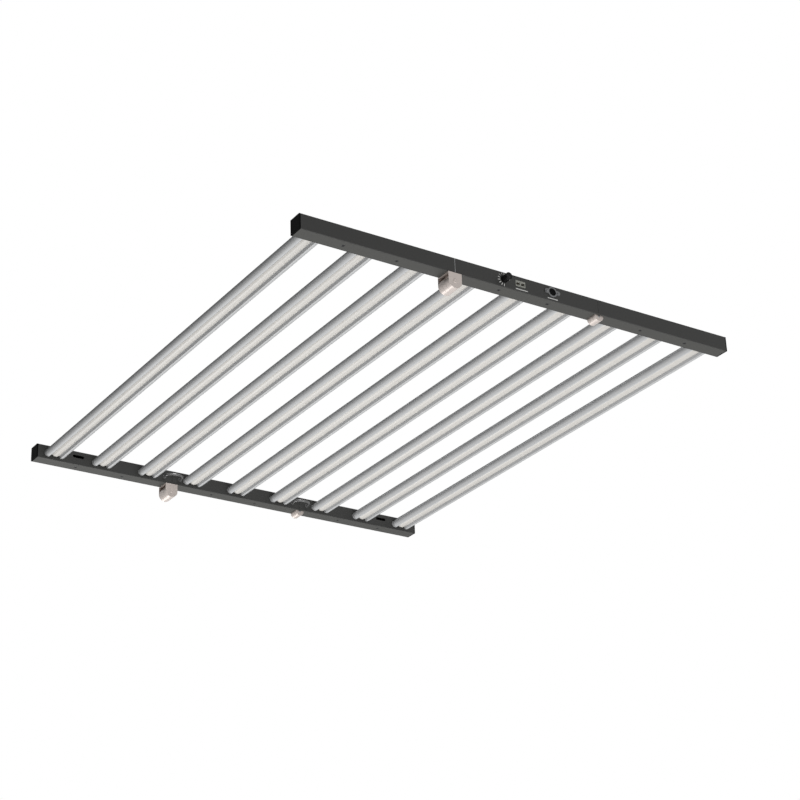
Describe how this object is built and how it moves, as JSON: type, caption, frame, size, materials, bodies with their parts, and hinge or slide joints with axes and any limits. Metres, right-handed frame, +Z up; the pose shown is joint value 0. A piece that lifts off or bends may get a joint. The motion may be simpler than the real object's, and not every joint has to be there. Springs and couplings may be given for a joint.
{
  "type": "folding led grow light",
  "caption": "Folding bar-type grow light: finned light bars between two dark box rails that fold at nickel hinges, with a dimmer knob, twin signal port and power inlet.",
  "frame": {"origin": "midway between the two rails and midway between the rails' outer ends, on the plane of the rails' tops", "axes": "+X along the rails to the right as seen from the controls, +Y from the control rail to the far rail, +Z up, light going down"},
  "size_m": [1.1, 1.3219, 0.071],
  "materials": {
    "bar_alloy": "satin anodised extrusion",
    "light_board": "white solder mask",
    "lens": "clear to milky strip",
    "rail_paint": "fine satin powder coat",
    "cover_paint": "fine satin powder coat",
    "cap_plastic": "moulded black",
    "dark_steel": "blackened screw",
    "plain_alloy": "mill finish",
    "bright_steel": "zinc plated",
    "hinge_nickel": "satin nickel",
    "circuit_board": "green board",
    "knob_plastic": "black moulded",
    "port_plastic": "grey moulded",
    "inlet_metal": "grey cast flange",
    "insert_plastic": "black moulded",
    "black_rubber": "smooth jacket"
  },
  "bodies": {
    "centre_panel": {"housing_4": "bar_alloy", "housing_5": "bar_alloy", "housing_6": "bar_alloy", "led_boards_centre": "light_board", "lenses_centre": "lens", "rail_near_centre": "rail_paint", "rail_far_centre": "rail_paint", "covers_centre": "cover_paint", "cover_screws_centre": "dark_steel", "cover_blocks_centre": "plain_alloy", "inner_screws_centre": "bright_steel", "grommets_centre": "black_rubber", "big_hinge_centre_leaves": "hinge_nickel", "big_hinge_pins": "bright_steel", "small_hinge_centre_leaves": "hinge_nickel", "small_hinge_pins": "bright_steel", "driver": "plain_alloy", "control_board": "circuit_board", "potentiometer": "plain_alloy", "pot_nut": "bright_steel", "port_block": "port_plastic", "inlet_flange": "inlet_metal", "inlet_insert": "insert_plastic", "inlet_screws": "bright_steel", "feed_cable": "black_rubber", "jumper_left": "black_rubber", "jumper_right": "black_rubber"},
    "left_panel": {"housing_1": "bar_alloy", "housing_2": "bar_alloy", "housing_3": "bar_alloy", "led_boards_left": "light_board", "lenses_left": "lens", "rail_near_left": "rail_paint", "rail_far_left": "rail_paint", "covers_left": "cover_paint", "cover_screws_left": "dark_steel", "cover_blocks_left": "plain_alloy", "inner_screws_left": "bright_steel", "grommets_left": "black_rubber", "end_caps_left": "cap_plastic", "big_hinge_left_leaves": "hinge_nickel", "harness_left": "black_rubber"},
    "right_panel": {"housing_7": "bar_alloy", "housing_8": "bar_alloy", "housing_9": "bar_alloy", "led_boards_right": "light_board", "lenses_right": "lens", "rail_near_right": "rail_paint", "rail_far_right": "rail_paint", "covers_right": "cover_paint", "cover_screws_right": "dark_steel", "cover_blocks_right": "plain_alloy", "inner_screws_right": "bright_steel", "grommets_right": "black_rubber", "end_caps_right": "cap_plastic", "small_hinge_right_leaves": "hinge_nickel", "harness_right": "black_rubber"},
    "dimmer": {"dimmer_knob": "knob_plastic", "pot_shaft": "bright_steel"}
  },
  "joints": [
    {"name": "left_fold", "type": "hinge", "parent": "centre_panel", "child": "left_panel", "pos_m": [-0.1855, 0, -0.0545], "axis": [0, -1, 0], "range_deg": [0, 180], "deforming": ["jumper_left"]},
    {"name": "right_fold", "type": "hinge", "parent": "centre_panel", "child": "right_panel", "pos_m": [0.191, 0, -0.0365], "axis": [0, 1, 0], "range_deg": [0, 180], "deforming": ["jumper_right"]},
    {"name": "dimmer_turn", "type": "hinge", "parent": "centre_panel", "child": "dimmer", "pos_m": [-0.06, -0.65, -0.0168], "axis": [0, 1, 0], "range_deg": [0, 300]}
  ]
}
